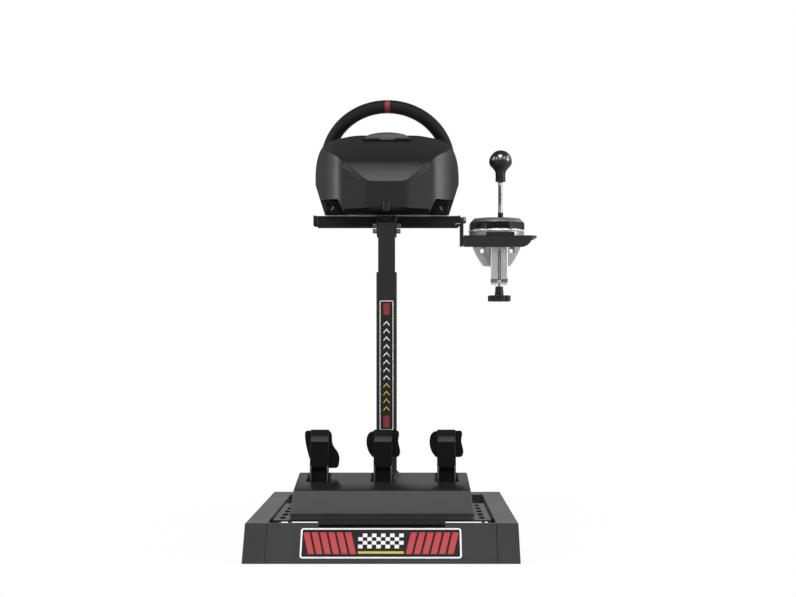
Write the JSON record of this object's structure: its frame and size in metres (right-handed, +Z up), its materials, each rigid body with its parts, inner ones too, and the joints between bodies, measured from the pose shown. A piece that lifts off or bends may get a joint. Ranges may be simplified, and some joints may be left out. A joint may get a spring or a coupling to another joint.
{
  "type": "racing wheel stand with wheel, pedals and shifter",
  "caption": "Sim racing stand: low base with pedal set, telescopic column, tilting deck with a steering wheel base, and a gear shifter clamped to a side shelf.",
  "frame": {"origin": "on the floor, on the axis of the column", "axes": "+Z up the column, +Y towards the driver, +X towards the shifter"},
  "size_m": [0.522, 0.8203, 0.8501],
  "materials": {
    "black_steel": "satin powder coat",
    "grey_steel": "satin powder coat",
    "bolt_steel": "zinc plated",
    "black_plastic": "fine moulded grain",
    "crest_plastic": "fine moulded grain",
    "pedal_metal": "matt black",
    "grip": "stitched grip",
    "red_marker": "red band",
    "spoke_metal": "dark anodised",
    "silver": "satin cast",
    "black_gloss": "polished",
    "chrome": "polished",
    "foot_rubber": "matt"
  },
  "bodies": {
    "base": {"left_rail": "black_steel", "right_rail": "black_steel", "front_panel": "black_steel", "rear_crossbar": "black_steel", "column_foot": "foot_rubber", "outer_tube": "black_steel", "column_gussets": "black_steel", "height_clamp": "black_plastic", "pedal_plate": "grey_steel", "plate_ledges": "black_steel", "pedal_tray": "black_plastic", "pedal_housing": "black_plastic", "pedal_shaft": "bolt_steel"},
    "column_top": {"inner_tube": "black_steel"},
    "deck": {"wheel_plate": "black_steel", "plate_side_flange": "black_steel", "tilt_bracket": "black_steel", "tilt_bolts": "bolt_steel", "wheel_base_housing": "black_plastic", "housing_crest": "crest_plastic", "corner_pads": "black_plastic", "rear_clip": "black_plastic", "shaft_collar": "black_plastic", "shifter_bracket": "black_steel", "bracket_bolts": "bolt_steel", "shifter_shelf": "black_steel", "shifter_body": "silver", "shifter_cap": "black_gloss", "gate_plate": "black_plastic", "shifter_clamp": "silver"},
    "steering_wheel": {"wheel_hub": "black_plastic", "hub_face": "spoke_metal", "wheel_rim": "grip", "rim_marker": "red_marker", "wheel_spokes": "spoke_metal", "button_pods": "black_plastic", "paddles": "spoke_metal"},
    "throttle": {"throttle_arm": "pedal_metal", "throttle_pad": "pedal_metal"},
    "brake": {"brake_arm": "pedal_metal", "brake_pad": "pedal_metal"},
    "clutch": {"clutch_arm": "pedal_metal", "clutch_pad": "pedal_metal"},
    "shift_gimbal": {"lever_gimbal": "bolt_steel"},
    "shift_lever": {"lever_rod": "chrome", "shift_knob": "black_plastic", "knob_cap": "black_gloss"},
    "clamp_screw": {"clamp_screw": "bolt_steel", "clamp_handle": "black_plastic"}
  },
  "joints": [
    {"name": "column_slide", "type": "slide", "parent": "base", "child": "column_top", "axis": [0, 0, 1], "range_m": [-0.05, 0.1]},
    {"name": "deck_tilt", "type": "hinge", "parent": "column_top", "child": "deck", "pos_m": [0, 0, 0.5764], "axis": [1, 0, 0], "range_deg": [-15, 15]},
    {"name": "wheel_turn", "type": "hinge", "parent": "deck", "child": "steering_wheel", "pos_m": [0, 0.161, 0.7268], "axis": [0, 0.8746, 0.4848], "range_deg": [-450, 450]},
    {"name": "throttle_press", "type": "hinge", "parent": "base", "child": "throttle", "pos_m": [0, -0.425, 0.0899], "axis": [1, 0, 0], "range_deg": [0, 18], "stiffness_Nm_per_rad": 6, "springref_deg": -17.19},
    {"name": "brake_press", "type": "hinge", "parent": "base", "child": "brake", "pos_m": [0, -0.425, 0.0899], "axis": [1, 0, 0], "range_deg": [0, 18], "stiffness_Nm_per_rad": 6, "springref_deg": -17.19},
    {"name": "clutch_press", "type": "hinge", "parent": "base", "child": "clutch", "pos_m": [0, -0.425, 0.0899], "axis": [1, 0, 0], "range_deg": [0, 18], "stiffness_Nm_per_rad": 6, "springref_deg": -17.19},
    {"name": "shift_side", "type": "hinge", "parent": "deck", "child": "shift_gimbal", "pos_m": [0.2273, 0.052, 0.56], "axis": [0, 1, 0], "range_deg": [-15, 15], "stiffness_Nm_per_rad": 4},
    {"name": "shift_fore", "type": "hinge", "parent": "shift_gimbal", "child": "shift_lever", "pos_m": [0.2273, 0.052, 0.56], "axis": [1, 0, 0], "range_deg": [-12, 12]},
    {"name": "clamp_turn", "type": "hinge", "parent": "deck", "child": "clamp_screw", "pos_m": [0.2225, 0.01, 0.5], "axis": [0, 0, 1], "continuous": true}
  ]
}
